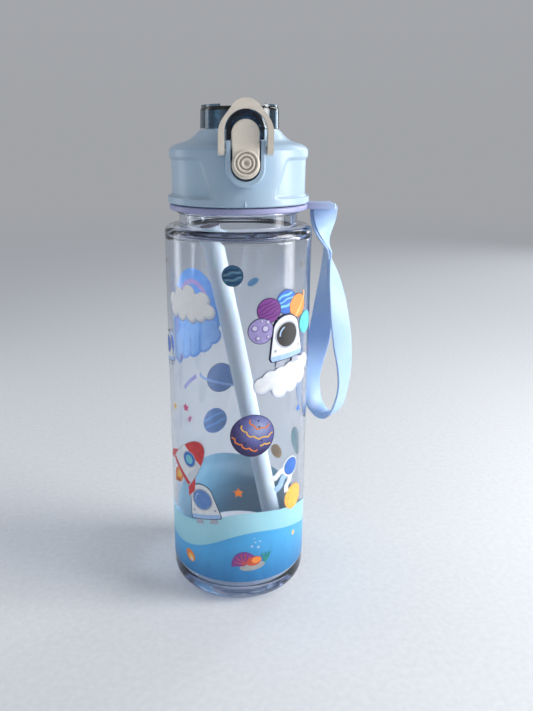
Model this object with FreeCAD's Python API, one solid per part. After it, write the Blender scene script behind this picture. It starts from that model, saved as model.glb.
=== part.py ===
import FreeCAD
import Part
import math
import os

# Straw bottle for children, 650 ml, with a screw lid, a flip cover, a push button,
# a locking bail and a soft carry strap.
#
# Millimetres. The origin is the centre of the base on the bottle's axis, +Z is up.
# -Y is the front, where the button is. The cover hinges at the back, towards +Y.
# The strap's tab points to +X.

Vector = FreeCAD.Vector
UP = Vector(0, 0, 1)
RIGHT = Vector(1, 0, 0)
BACK = Vector(0, 1, 0)

# ---- driving dimensions: bottle ----
BODY_RADIUS = 35.0
BODY_WALL = 2.2
BASE_CORNER = 8.0
BASE_PUNT = 2.6
FLOOR_TOP = 5.4
SHOULDER_Z = 188.7
NECK_RADIUS = 27.9
BEAD_Z = 194.2
RIM_Z = 212.4
MOUTH_RADIUS = 24.4

# ---- driving dimensions: screw thread ----
THREAD_ROOT = 26.6
THREAD_DEPTH = 1.0
THREAD_LEAD = 4.0
THREAD_TURNS = 1.25
THREAD_START_Z = 202.6
THREAD_GAP = 0.3

# ---- driving dimensions: strap ring and strap ----
RING_BOTTOM = 195.8
RING_TOP = 198.5
RING_OUTER = 32.4
TAB_END = 46.0
BAND_WIDTH = 12.0
BAND_THICKNESS = 1.4

# ---- driving dimensions: lid ----
SKIRT_BOTTOM = 199.0
SKIRT_RADIUS = 33.05
SHELL_RADIUS = 31.95
SHELL_WALL = 1.8
EDGE_Z = 222.3
COLLAR_RADIUS = 17.7
COLLAR_Z = 231.0
COLLAR_Y = -6.0
PANEL_TOP = 218.5
PANEL_BOTTOM = 203.0
DECK_BOTTOM = 214.2
DECK_TOP = 216.0
TOWER_RADIUS = 15.0
TOWER_TOP = 226.0
WELL_RADIUS = 15.2

# ---- driving dimensions: cover, button and bail ----
COVER_TOP = 240.4
COVER_WALL = 1.6
COVER_HINGE_Y = 14.5
COVER_HINGE_Z = 231.5
HOOD_RADIUS = 7.9
HOOD_CENTRE_Z = 230.4
HOOD_FRONT = -33.2
BUTTON_WIDTH = 12.1
BUTTON_TOP = 234.7
BUTTON_BOTTOM = 210.9
BUTTON_PIVOT_Y = -31.3
BUTTON_PIVOT_Z = 224.6
RIPPLE_Z = 217.4
BEZEL_WIDTH = 16.6
BEZEL_TOP = 226.3
BEZEL_BOTTOM = 207.2
BEZEL_FRONT = -35.2
POCKET_FLOOR = -31.0
POCKET_BACK = -27.6
BAIL_WIDTH = 22.8
BAIL_INNER = 17.8
BAIL_PIVOT_Y = -33.4
BAIL_PIVOT_Z = 222.8
BAIL_BEND_Z = 232.5
BAIL_TOP = 242.7
CROWN_DROP = 4.4

RUNNING_GAP = 0.3
PIN_GAP = 0.05

# ---- driving dimensions: straw ----
STRAW_RADIUS = 5.0
STRAW_BORE = 4.1
STRAW_FOOT = Vector(22.7, 8.0, 11.5)
STRAW_HEAD = Vector(-14.3, -8.5, 189.0)


# ---------------------------------------------------------------- helpers

def in_xz(y=0.0):
    """Put outline points in an XZ plane at the given Y."""
    return lambda a, b: Vector(a, y, b)


def in_yz(x=0.0):
    """Put outline points in a YZ plane at the given X."""
    return lambda a, b: Vector(x, a, b)


def rounded_wire(corners, place):
    """Closed outline through corners (a, b) or (a, b, radius), each radius as an arc."""
    count = len(corners)
    points = [place(corner[0], corner[1]) for corner in corners]
    radii = [corner[2] if len(corner) > 2 else 0.0 for corner in corners]
    stretches = []
    for i in range(count):
        here = points[i]
        back = (points[i - 1] - here).normalize()
        ahead = (points[(i + 1) % count] - here).normalize()
        if radii[i] == 0.0:
            stretches.append((here, None, here))
            continue
        half = 0.5 * back.getAngle(ahead)
        run = radii[i] / math.tan(half)
        middle = (back + ahead).normalize() * (radii[i] / math.sin(half) - radii[i])
        stretches.append((here + back * run, here + middle, here + ahead * run))
    edges = []
    for i in range(count):
        start, middle, end = stretches[i]
        if middle is not None:
            edges.append(Part.Arc(start, middle, end).toShape())
        following = stretches[(i + 1) % count][0]
        if end.distanceToPoint(following) > 1e-6:
            edges.append(Part.LineSegment(end, following).toShape())
    return Part.Wire(edges)


def revolved(corners, centre_y=0.0):
    """Turn an outline of (radius, z) corners about the vertical axis at centre_y."""
    face = Part.Face(rounded_wire(corners, in_xz(centre_y)))
    return face.revolve(Vector(0, centre_y, 0), UP, 360)


def plate_xz(corners, front, back):
    """An outline in XZ, thickened from y = front to y = back."""
    face = Part.Face(rounded_wire(corners, in_xz(front)))
    return face.extrude(Vector(0, back - front, 0))


def plate_yz(corners, left, right):
    """An outline in YZ, thickened from x = left to x = right."""
    face = Part.Face(rounded_wire(corners, in_yz(left)))
    return face.extrude(Vector(right - left, 0, 0))


def box(low, high):
    size = Vector(*high) - Vector(*low)
    return Part.makeBox(size.x, size.y, size.z, Vector(*low))


def disc(radius, bottom, top, centre=(0.0, 0.0)):
    return Part.makeCylinder(radius, top - bottom, Vector(centre[0], centre[1], bottom), UP)


def tube(outer, inner, bottom, top, centre=(0.0, 0.0)):
    return disc(outer, bottom, top, centre).cut(disc(inner, bottom, top, centre))


def bar_x(radius, left, right, y, z):
    """A round bar along X."""
    return Part.makeCylinder(radius, right - left, Vector(left, y, z), RIGHT)


def mirrored(shape):
    """The shape and its mirror image on the other side of the YZ plane."""
    return shape.fuse(shape.mirror(Vector(0, 0, 0), RIGHT))


def helical_ridge(corners, lead, turns, start_z):
    """Sweep an outline of (radius, z) corners along a right-handed helix."""
    helix_radius = sum(corner[0] for corner in corners) / len(corners)
    helix = Part.makeHelix(lead, lead * turns, helix_radius)
    outline = rounded_wire(corners, in_xz())
    ridge = Part.Wire(helix.Edges).makePipeShell([outline], True, True)
    ridge.translate(Vector(0, 0, start_z))
    return ridge


def coil(radius, wire, pitch, turns):
    """A coil that winds up the Z axis from the origin, its wire a fine-sided polygon."""
    helix = Part.makeHelix(pitch, pitch * turns, radius)
    sides = 10
    corners = []
    for i in range(sides):
        turn = 2 * math.pi * i / sides
        corners.append(Vector(radius + wire * math.cos(turn), 0, wire * math.sin(turn)))
    section = Part.makePolygon(corners + corners[:1])
    return Part.Wire(helix.Edges).makePipeShell([section], True, True)


# ---------------------------------------------------------------- bottle

def thread_outline(root, crest):
    """Trapezoid of a thread ridge that is rooted a little inside its wall."""
    sink = 0.4 if crest > root else -0.4
    return [(root - sink, -1.25), (crest, -0.5), (crest, 0.5), (root - sink, 1.25)]


def bottle_body():
    """One-piece clear bottle: punted base, straight wall, square shoulder, threaded neck."""
    inner = BODY_RADIUS - BODY_WALL
    neck_bore = MOUTH_RADIUS + 1.0
    body = revolved([
        (0, BASE_PUNT), (17.5, BASE_PUNT, 4), (22.5, 0, 2.5), (BODY_RADIUS, 0, BASE_CORNER),
        (BODY_RADIUS, SHOULDER_Z, 3), (NECK_RADIUS, SHOULDER_Z, 0.9),
        (NECK_RADIUS, BEAD_Z), (NECK_RADIUS + 1.0, BEAD_Z + 0.2, 0.4),
        (NECK_RADIUS + 1.0, BEAD_Z + 1.1, 0.4), (NECK_RADIUS, BEAD_Z + 1.2),
        (NECK_RADIUS, SKIRT_BOTTOM), (THREAD_ROOT, SKIRT_BOTTOM + 1.4),
        (THREAD_ROOT, RIM_Z, 0.8), (MOUTH_RADIUS, RIM_Z, 0.8),
        (MOUTH_RADIUS, SKIRT_BOTTOM + 1.0), (neck_bore, SKIRT_BOTTOM - 1.0, 0.8),
        (neck_bore, SHOULDER_Z - 2.4, 2), (inner, SHOULDER_Z - 3.2, 3),
        (inner, FLOOR_TOP + 0.6, 6), (0, FLOOR_TOP),
    ])
    ridge = helical_ridge(thread_outline(THREAD_ROOT, THREAD_ROOT + THREAD_DEPTH),
                          THREAD_LEAD, THREAD_TURNS, THREAD_START_Z)
    return body.fuse(ridge)


def straw():
    """Straight drinking straw that stands loose across the bottle."""
    along = STRAW_HEAD - STRAW_FOOT
    outside = Part.makeCylinder(STRAW_RADIUS, along.Length, STRAW_FOOT, along)
    bore = Part.makeCylinder(STRAW_BORE, along.Length, STRAW_FOOT, along)
    return outside.cut(bore)


# ---------------------------------------------------------------- strap

def strap_ring():
    """Soft ring trapped between the neck bead and the lid, with the strap's tab."""
    inner = NECK_RADIUS + 0.35
    ring = revolved([(inner, RING_BOTTOM), (RING_OUTER, RING_BOTTOM, 1.1),
                     (RING_OUTER, RING_TOP, 0.9), (inner, RING_TOP)])
    half = BAND_WIDTH / 2
    tab = plate_xz([(inner + 2, RING_BOTTOM), (TAB_END, RING_BOTTOM, 0.7),
                    (TAB_END, RING_TOP, 1.6), (inner + 2, RING_TOP)], -half, half)
    ends = Part.Face(rounded_wire([(inner, -half - 6), (TAB_END, -half, 3), (TAB_END, half, 3),
                                   (inner, half + 6)], lambda a, b: Vector(a, b, RING_BOTTOM)))
    return ring.fuse(tab.common(ends.extrude(UP * (RING_TOP - RING_BOTTOM))))


# Centre line of the strap from the tab down the outer strand, round the bottom and up
# the inner strand: the point, and the compass angle of the band's width at that point.
STRAP_STEM = [
    (Vector(41.0, 0.0, 195.4), 0),
    (Vector(41.0, 0.0, 192.6), 8),
    (Vector(41.6, 1.0, 187.6), 30),
    (Vector(42.9, 2.2, 181.4), 62),
    (Vector(44.4, 3.2, 175.0), 86),
]
STRAP_OUTER = [
    (Vector(44.6, 3.2, 176.2), 86),
    (Vector(46.4, 3.0, 168.0), 70),
    (Vector(48.2, 2.5, 160.5), 50),
    (Vector(50.2, 1.8, 150.0), 33),
    (Vector(52.0, 1.2, 138.5), 22),
    (Vector(53.8, 0.8, 127.5), 20),
    (Vector(55.3, 1.0, 115.5), 30),
    (Vector(55.4, 2.4, 103.5), 42),
    (Vector(53.4, 5.0, 93.5), 48),
    (Vector(50.8, 7.7, 88.2), 48),
    (Vector(48.4, 9.8, 86.8), 46),
]
STRAP_INNER = [
    (Vector(48.4, 9.8, 86.8), 46),
    (Vector(45.6, 12.2, 88.4), 42),
    (Vector(42.6, 15.0, 93.8), 34),
    (Vector(41.2, 17.4, 103.0), 22),
    (Vector(42.2, 18.4, 113.5), 6),
    (Vector(44.0, 17.6, 124.5), -14),
    (Vector(44.7, 15.2, 135.5), -38),
    (Vector(44.8, 11.8, 147.5), -62),
    (Vector(44.6, 8.2, 159.0), -80),
    (Vector(44.3, 5.0, 168.5), -90),
    (Vector(44.2, 3.2, 176.2), -94),
]


def band(stations, width):
    """Flat band lofted through stations of (centre point, angle of its width)."""
    last = len(stations) - 1
    sections = []
    for i, (centre, degrees) in enumerate(stations):
        along = (stations[min(i + 1, last)][0] - stations[max(i - 1, 0)][0]).normalize()
        across = Vector(math.cos(math.radians(degrees)), math.sin(math.radians(degrees)), 0)
        across = (across - along * across.dot(along)).normalize()
        half = across * (width / 2)
        thick = along.cross(across) * (BAND_THICKNESS / 2)
        corners = [centre - half - thick, centre + half - thick,
                   centre + half + thick, centre - half + thick]
        sections.append(Part.makePolygon(corners + corners[:1]))
    return Part.makeLoft(sections, True, True)


def strap_loop():
    """Carry loop: a stem that folds at the tab, then a drop-shaped loop of flat band."""
    stem = band(STRAP_STEM, BAND_WIDTH - 1.0)
    outer = band(STRAP_OUTER, BAND_WIDTH - 2.0)
    inner = band(STRAP_INNER, BAND_WIDTH - 2.0)
    return stem.fuse(outer).fuse(inner)


# ---------------------------------------------------------------- lid: inner parts

def neck_gasket():
    """Flat silicone ring that the lid presses on the bottle's rim."""
    return revolved([(24.6, RIM_Z + 0.05, 0.3), (27.4, RIM_Z + 0.05, 0.3),
                     (27.4, DECK_BOTTOM - 0.05, 0.3), (24.6, DECK_BOTTOM - 0.05, 0.3)])


def cap_liner():
    """Threaded core of the lid: skirt, deck, and a tower that carries spout and straw."""
    bore = THREAD_ROOT + THREAD_DEPTH + THREAD_GAP
    skirt_outer = bore + 1.5
    liner = revolved([
        (bore, SKIRT_BOTTOM + 0.6), (skirt_outer, SKIRT_BOTTOM + 0.6), (skirt_outer, DECK_TOP, 0.8),
        (0, DECK_TOP), (0, DECK_BOTTOM), (22.2, DECK_BOTTOM), (22.2, DECK_BOTTOM - 4.0, 0.4),
        (23.8, DECK_BOTTOM - 4.0, 0.6), (23.8, DECK_BOTTOM), (bore, DECK_BOTTOM),
    ])
    centre = (0.0, COLLAR_Y)
    tower_bore = TOWER_RADIUS - 1.6
    liner = liner.fuse(disc(TOWER_RADIUS, DECK_TOP - 1.0, TOWER_TOP, centre))
    liner = liner.cut(disc(tower_bore, DECK_BOTTOM - 1.0, TOWER_TOP - 1.8, centre))
    liner = liner.fuse(disc(4.2, DECK_BOTTOM - 1.2, TOWER_TOP - 1.0, centre))
    liner = liner.fuse(disc(4.4, TOWER_TOP - 1.0, TOWER_TOP + 4.6, centre))
    liner = liner.cut(disc(3.0, DECK_BOTTOM - 2.0, TOWER_TOP + 5.0, centre))
    liner = liner.cut(disc(1.25, TOWER_TOP - 3.0, TOWER_TOP + 1.0, vent_place()))
    crest = bore - THREAD_DEPTH
    ridge = helical_ridge(thread_outline(bore, crest), THREAD_LEAD, THREAD_TURNS,
                          THREAD_START_Z - THREAD_LEAD / 2 + 0.2)
    return liner.fuse(ridge)


def vent_place():
    """Centre of the air vent on the tower's top."""
    return (9.4, COLLAR_Y + 4.0)


def tower_seal():
    """O-ring between the tower and the shell's collar."""
    ring = Part.makeTorus(TOWER_RADIUS + 1.0, 0.9, Vector(0, COLLAR_Y, DECK_TOP + 1.2), UP)
    return ring


def spout_nozzle():
    """Soft silicone spout pushed over the tower's upper stub."""
    bottom = TOWER_TOP + 0.02
    return revolved([
        (4.4, bottom), (7.6, bottom, 0.5), (7.6, bottom + 1.6, 0.6), (5.9, bottom + 2.2, 1.0),
        (5.3, bottom + 7.4, 1.5), (6.0, bottom + 9.0, 0.9), (5.6, bottom + 10.6, 1.2),
        (2.3, bottom + 10.6, 0.8), (2.6, bottom + 4.8), (4.4, bottom + 4.6),
    ], COLLAR_Y)


def straw_connector():
    """Silicone sleeve under the tower that the straw pushes into."""
    return revolved([
        (4.2, 220.0), (4.2, DECK_BOTTOM - 1.3), (STRAW_RADIUS, DECK_BOTTOM - 1.3),
        (STRAW_RADIUS, 204.0, 0.5), (6.6, 204.0, 0.6), (6.6, DECK_BOTTOM, 1.5), (5.6, 220.0, 0.5),
    ], COLLAR_Y)


def vent_valve():
    """Silicone vent plug: mushroom head, stem through the tower's top, holding bulb."""
    x, y = vent_place()
    plug = revolved([
        (0, TOWER_TOP - 4.2), (0.9, TOWER_TOP - 4.2, 0.4), (1.9, TOWER_TOP - 1.85, 0.3),
        (1.2, TOWER_TOP - 1.8), (1.2, TOWER_TOP + 0.02), (2.8, TOWER_TOP + 0.02, 0.3),
        (2.0, TOWER_TOP + 1.2, 0.6), (0, TOWER_TOP + 1.2),
    ])
    plug.translate(Vector(x, y, 0))
    return plug


# ---------------------------------------------------------------- lid: outer shell

def flared_top(inset):
    """Solid from the shell's edge up to the collar, its sides curving in, inset all round."""
    steps = [
        (SHELL_RADIUS, 0.0, EDGE_Z), (30.4, 0.0, EDGE_Z + 1.7), (25.2, -1.8, EDGE_Z + 3.5),
        (20.7, -4.4, EDGE_Z + 5.9), (COLLAR_RADIUS, COLLAR_Y, COLLAR_Z),
    ]
    circles = []
    for radius, y, z in steps:
        circle = Part.makeCircle(radius - inset, Vector(0, y, z - inset), UP)
        circles.append(Part.Wire(circle))
    return Part.makeLoft(circles, True)


def shell_outside():
    """The lid shell's outer form as one solid block."""
    skirt = revolved([
        (0, SKIRT_BOTTOM), (SKIRT_RADIUS, SKIRT_BOTTOM, 0.8), (SKIRT_RADIUS - 0.2, SKIRT_BOTTOM + 3.4, 8),
        (SHELL_RADIUS + 0.2, SKIRT_BOTTOM + 8.0, 12), (SHELL_RADIUS, EDGE_Z), (0, EDGE_Z),
    ])
    return skirt.fuse(flared_top(0.0))


def grip_panel(grow, depth):
    """Cutter for the two side recesses: a slanted outline, depth deep in the shell."""
    corner = 3.0 + grow
    side = plate_xz([
        (13.9 - grow, PANEL_BOTTOM - grow, corner), (18.9 - grow, PANEL_TOP + grow, corner),
        (40, PANEL_TOP + grow), (40, PANEL_BOTTOM - grow),
    ], -40, 40)
    skin = tube(40, SHELL_RADIUS - depth, PANEL_BOTTOM - 2, PANEL_TOP + 2)
    return mirrored(side).common(skin)


def stadium(half_width, bottom, top, front, back):
    """Upright plate with a round lower end and a square upper end."""
    return plate_xz([
        (-half_width, bottom, half_width - 0.01), (half_width, bottom, half_width - 0.01),
        (half_width, top), (-half_width, top),
    ], front, back)


def hinge_ears():
    """Two ears at the back of the shell that hold the cover's hinge pin."""
    ear = plate_yz([
        (COVER_HINGE_Y - 2.4, COVER_HINGE_Z + 2.4, 2.39), (COVER_HINGE_Y + 2.4, COVER_HINGE_Z + 2.4, 2.39),
        (COVER_HINGE_Y + 4.5, 226.5), (COVER_HINGE_Y - 2.4, 226.5),
    ], 6.3, 9.0)
    return mirrored(ear)


def cap_shell():
    """Blue outer lid: skirt, grip panels, flared top, collar, button bezel, hinge ears."""
    outside = shell_outside()
    shell = outside.cut(disc(THREAD_ROOT + THREAD_DEPTH + THREAD_GAP + 1.8, SKIRT_BOTTOM - 1, DECK_TOP + 0.3))
    hollow = disc(SHELL_RADIUS - SHELL_WALL, DECK_TOP + 0.2, EDGE_Z - SHELL_WALL)
    shell = shell.cut(hollow.fuse(flared_top(SHELL_WALL)))
    collar = tube(COLLAR_RADIUS - 0.1, WELL_RADIUS, DECK_TOP + 3.0, COLLAR_Z, (0.0, COLLAR_Y))
    shell = shell.fuse(collar)
    shell = shell.cut(disc(WELL_RADIUS, DECK_TOP, COLLAR_Z + 1, (0.0, COLLAR_Y)))
    shell = shell.cut(grip_panel(0.9, 0.4))
    shell = shell.cut(grip_panel(0.0, 0.95))

    bezel = stadium(BEZEL_WIDTH / 2, BEZEL_BOTTOM, BEZEL_TOP, BEZEL_FRONT, -30.4)
    front_edges = [edge for edge in bezel.Edges
                   if max(vertex.Y for vertex in edge.Vertexes) < BEZEL_FRONT + 0.01
                   and edge.BoundBox.ZMin < BEZEL_TOP - 0.1]
    bezel = bezel.makeFillet(0.9, front_edges)
    cheek = BEZEL_WIDTH / 2
    block = box((-cheek, -32.0, DECK_TOP + 0.35), (cheek, POCKET_BACK + 1.3, BEZEL_TOP))
    shell = shell.fuse(bezel).fuse(block)
    pocket = BUTTON_WIDTH / 2 + RUNNING_GAP
    shell = shell.cut(stadium(pocket, BEZEL_BOTTOM + 2.7, 236, -40, POCKET_FLOOR))
    shell = shell.cut(box((-pocket, -40, DECK_TOP + 1.2), (pocket, POCKET_BACK, 236)))

    tick = Part.makeCylinder(0.6, 4.0, Vector(0, 0.25 - SKIRT_RADIUS, SKIRT_BOTTOM + 0.3), Vector(0, 0.19, 1))
    shell = shell.fuse(tick).fuse(hinge_ears())
    shell = shell.cut(bar_x(2.4 + RUNNING_GAP, -6.3, 6.3, COVER_HINGE_Y, COVER_HINGE_Z))
    shell = shell.cut(bar_x(1.0, -8.4, 8.4, COVER_HINGE_Y, COVER_HINGE_Z))
    shell = shell.cut(bar_x(0.8, -7.9, 7.9, BUTTON_PIVOT_Y, BUTTON_PIVOT_Z))
    shell = shell.cut(mirrored(bar_x(0.9, 7.1, 12, BAIL_PIVOT_Y, BAIL_PIVOT_Z)))
    return shell


# ---------------------------------------------------------------- cover

def hood(outer_radius, front, back):
    """Arched block over the button: round top, straight sides down to the bezel."""
    bottom = BEZEL_TOP + RUNNING_GAP
    top = HOOD_CENTRE_Z + outer_radius
    return plate_xz([
        (-outer_radius, bottom), (-outer_radius, top, outer_radius - 0.01),
        (outer_radius, top, outer_radius - 0.01), (outer_radius, bottom),
    ], front, back)


def flip_cover():
    """Tinted cover: shallow dome, hood round the button's head, latch ledge, hinge barrels."""
    bottom = COLLAR_Z + RUNNING_GAP
    inner = COLLAR_RADIUS - COVER_WALL
    centre = (0.0, COLLAR_Y)
    dome = revolved([(0, bottom), (COLLAR_RADIUS, bottom), (COLLAR_RADIUS - 0.2, COVER_TOP, 1.4),
                     (0, COVER_TOP)], COLLAR_Y)
    ridge = tube(COLLAR_RADIUS - 0.6, inner - 0.4, COVER_TOP - 1.5, COVER_TOP + 0.8, centre)
    ridge = ridge.cut(box((-9.5, -30, COVER_TOP - 2), (9.5, 20, COVER_TOP + 2)))
    cavity = disc(inner, bottom - 1, COVER_TOP - COVER_WALL, centre)
    hood_block = hood(HOOD_RADIUS, HOOD_FRONT, COLLAR_Y - 10.0)
    button_room = BUTTON_WIDTH / 2 + RUNNING_GAP
    hood_room = hood(button_room, HOOD_FRONT - 1, -25.2).fuse(
        box((-button_room, HOOD_FRONT - 1, 225), (button_room, -25.2, HOOD_CENTRE_Z)))
    cover = dome.fuse(ridge).fuse(hood_block).cut(cavity).cut(hood_room)
    lifted = shell_outside()
    lifted.translate(Vector(0, 0, RUNNING_GAP + 0.1))
    cover = cover.cut(lifted)

    ledge = box((-button_room - 0.4, -29.3, 229.6), (button_room + 0.4, -25.0, 231.2))
    nib = plate_xz([(-1.5, 237.6), (-1.2, 239.0, 0.3), (1.2, 239.0, 0.3), (1.5, 237.6)],
                   HOOD_FRONT + 0.1, HOOD_FRONT + 2.0)
    barrel = bar_x(2.4, -6.0, 6.0, COVER_HINGE_Y, COVER_HINGE_Z)
    arm = box((-6.0, COLLAR_Y + inner - 0.2, COVER_HINGE_Z + 0.2),
              (6.0, COVER_HINGE_Y, COVER_HINGE_Z + 2.4))
    cover = cover.fuse(ledge).fuse(nib).fuse(barrel).fuse(arm)
    spring_room = box((-2.3, COLLAR_Y + COLLAR_RADIUS + 0.2, 228), (2.3, 18, 235))
    cover = cover.cut(spring_room)
    return cover.cut(bar_x(1.0 + PIN_GAP, -7, 7, COVER_HINGE_Y, COVER_HINGE_Z))


def cover_seal():
    """Silicone pad under the cover that closes the spout."""
    top = COVER_TOP - COVER_WALL
    return revolved([(0, top - 1.7), (6.6, top - 1.7, 0.5), (6.6, top), (0, top)], COLLAR_Y)


def cover_hinge_pin():
    return bar_x(1.0, -8.4, 8.4, COVER_HINGE_Y, COVER_HINGE_Z)


def cover_spring():
    """Torsion spring wound round the hinge pin, between the cover's two barrels."""
    winding = coil(1.6, 0.3, 0.75, 5)
    winding.rotate(Vector(0, 0, 0), Vector(0, 1, 0), 90)
    winding.translate(Vector(-1.9, COVER_HINGE_Y, COVER_HINGE_Z))
    return winding


# ---------------------------------------------------------------- button and bail

def release_button():
    """Rocker button: rippled thumb pad below, dished arm above, latch hook behind."""
    half = BUTTON_WIDTH / 2
    arm = plate_xz([(-5.45, RIPPLE_Z), (5.45, RIPPLE_Z), (half, BUTTON_TOP, half - 0.25),
                    (-half, BUTTON_TOP, half - 0.25)], -40, -28)
    pad_radius = RIPPLE_Z - BUTTON_BOTTOM - 0.6
    outline = arm.fuse(Part.makeCylinder(pad_radius, 12, Vector(0, -40, BUTTON_BOTTOM + pad_radius), BACK))
    side = plate_yz([
        (-33.2, BUTTON_BOTTOM - 1), (-36.0, BUTTON_BOTTOM - 1), (-36.0, 222.6, 3.0),
        (-34.5, 225.2, 4.0), (-34.5, 231.6, 5.0), (-35.3, BUTTON_TOP + 1.0),
        (-31.7, BUTTON_TOP + 1.0), (-31.7, 222.0, 1.0), (-33.2, 220.4, 1.0),
    ], -10, 10)
    button = outline.common(side)
    rim = [edge for edge in button.Edges if edge.BoundBox.YMax < -34.0 and edge.BoundBox.XLength > 1.0]
    button = filleted(button, 0.5, rim)
    face = -36.0
    pad = Part.makeCylinder(5.35, 1.2, Vector(0, face - 0.35, RIPPLE_Z), BACK)
    button = button.fuse(pad)
    for radius in (4.9, 3.3, 1.7):
        button = button.fuse(Part.makeTorus(radius, 0.42, Vector(0, face - 0.3, RIPPLE_Z), BACK))
    for radius in (4.1, 2.5):
        button = button.cut(Part.makeTorus(radius, 0.36, Vector(0, face - 0.35, RIPPLE_Z), BACK))
    pivot = bar_x(2.0, -half, half, BUTTON_PIVOT_Y, BUTTON_PIVOT_Z)
    hook = plate_yz([(-32.2, 231.5), (-29.6, 231.5), (-29.6, 232.2), (-31.2, 234.0), (-32.2, 234.0)],
                    -2.5, 2.5)
    button = button.fuse(pivot).fuse(hook)
    return button.cut(bar_x(0.8 + PIN_GAP, -7, 7, BUTTON_PIVOT_Y, BUTTON_PIVOT_Z))


def filleted(shape, radius, edges):
    """The shape with those edges rounded, or as it was where they can't be."""
    try:
        rounded = shape.makeFillet(radius, edges)
    except Part.OCCError:
        return shape
    return rounded if rounded.isValid() and rounded.Volume > 0 else shape


def button_pivot_pin():
    return bar_x(0.8, -7.9, 7.9, BUTTON_PIVOT_Y, BUTTON_PIVOT_Z)


def button_spring():
    """Compression spring between the pocket's back and the thumb pad."""
    length = POCKET_BACK - (-33.2) - 0.1
    wire = 0.25
    turns = 5
    spring = coil(1.25, wire, (length - 2 * wire) / turns, turns)
    spring.rotate(Vector(0, 0, 0), RIGHT, 90)
    spring.translate(Vector(0, POCKET_BACK - 0.05 - wire, RIPPLE_Z + 1.45))
    return spring


def lock_bail():
    """Arch that swings on the bezel's cheeks, with a thumb tab on its crown."""
    wide = BAIL_WIDTH / 2
    narrow = BAIL_INNER / 2
    foot = BAIL_PIVOT_Z - 2.4
    crown = HOOD_CENTRE_Z + HOOD_RADIUS + 0.3
    arch = plate_xz([
        (-wide, foot), (-wide, BAIL_BEND_Z, 10.2), (0, BAIL_TOP + CROWN_DROP, 7.0),
        (wide, BAIL_BEND_Z, 10.2), (wide, foot),
    ], -42, -28)
    arch = arch.cut(plate_xz([
        (-narrow, foot - 1), (-narrow, crown, narrow - 0.01), (narrow, crown, narrow - 0.01),
        (narrow, foot - 1),
    ], -43, -27))
    side = plate_yz([
        (BAIL_PIVOT_Y - 2.4, foot, 2.39), (BAIL_PIVOT_Y + 2.4, foot, 2.39),
        (BAIL_PIVOT_Y + 2.4, BAIL_PIVOT_Z + 2.0, 2.0), (-33.7, BAIL_PIVOT_Z + 7.0, 4.0),
        (-33.7, BAIL_TOP + 1), (-38.0, BAIL_TOP + 1), (-36.8, 238.0, 3.0), (-36.8, BAIL_PIVOT_Z + 5, 4.0),
    ], -20, 20)
    bail = arch.common(side)
    scoop = bar_x(5.0, -20, 20, -41.5, 242.0)
    bail = bail.cut(scoop)
    return bail.cut(bar_x(0.9 + PIN_GAP, -20, 20, BAIL_PIVOT_Y, BAIL_PIVOT_Z))


def bail_pins():
    """Two short pins fixed in the cheeks that the bail's legs turn on."""
    return mirrored(bar_x(0.9, 7.1, BAIL_WIDTH / 2 - 0.3, BAIL_PIVOT_Y, BAIL_PIVOT_Z))


# ---------------------------------------------------------------- output

NODES = {
    "bottle_body": bottle_body,
    "straw": straw,
    "strap_ring": strap_ring,
    "strap_loop": strap_loop,
    "neck_gasket": neck_gasket,
    "cap_liner": cap_liner,
    "cap_shell": cap_shell,
    "tower_seal": tower_seal,
    "spout_nozzle": spout_nozzle,
    "straw_connector": straw_connector,
    "vent_valve": vent_valve,
    "flip_cover": flip_cover,
    "cover_seal": cover_seal,
    "cover_hinge_pin": cover_hinge_pin,
    "cover_spring": cover_spring,
    "release_button": release_button,
    "button_pivot_pin": button_pivot_pin,
    "button_spring": button_spring,
    "lock_bail": lock_bail,
    "bail_pins": bail_pins,
}

os.makedirs("parts", exist_ok=True)
for name, make in NODES.items():
    shape = make()
    shape.exportStep(os.path.join("parts", name + ".step"))
    print(name, "solids", len(shape.Solids), "valid", shape.isValid(), "volume mm3", round(shape.Volume, 1))
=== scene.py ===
import math

import bmesh
import bpy
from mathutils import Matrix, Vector


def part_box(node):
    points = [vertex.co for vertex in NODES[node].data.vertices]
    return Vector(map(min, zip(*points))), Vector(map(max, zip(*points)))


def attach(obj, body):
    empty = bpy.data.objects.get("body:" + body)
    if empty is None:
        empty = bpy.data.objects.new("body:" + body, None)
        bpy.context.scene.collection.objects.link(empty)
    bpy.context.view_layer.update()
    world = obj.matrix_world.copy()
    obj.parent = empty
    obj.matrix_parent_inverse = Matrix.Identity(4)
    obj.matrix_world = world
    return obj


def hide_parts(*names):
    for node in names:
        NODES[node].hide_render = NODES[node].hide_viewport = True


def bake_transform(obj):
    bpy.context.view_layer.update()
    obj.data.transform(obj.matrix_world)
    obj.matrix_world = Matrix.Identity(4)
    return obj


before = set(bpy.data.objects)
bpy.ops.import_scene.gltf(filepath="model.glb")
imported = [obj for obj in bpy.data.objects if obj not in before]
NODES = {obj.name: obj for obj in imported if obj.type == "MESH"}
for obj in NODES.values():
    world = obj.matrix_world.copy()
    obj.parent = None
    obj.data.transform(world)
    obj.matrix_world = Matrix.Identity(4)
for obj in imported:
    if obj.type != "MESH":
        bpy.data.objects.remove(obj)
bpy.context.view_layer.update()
MM = 0.001

# ---- places, worked out from the frame ----
BODY_RADIUS = -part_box("bottle_body")[0].x
TAB_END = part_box("strap_ring")[1].x
TAB_FADE = 14.0 * MM

# ---- details of the lid and button that their materials follow ----
RIPPLE_HEIGHT = 217.4 * MM
RIPPLE_REACH = 6.0 * MM
PANEL_BOTTOM = 203.0 * MM
PANEL_TOP = 218.5 * MM
PANEL_SIDE = 13.9 * MM
PANEL_LEAN = 5.0 * MM
PANEL_CORNER = 3.0 * MM
PANEL_EDGE = 1.2 * MM
PANEL_DEPTH = 0.8 * MM

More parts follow.
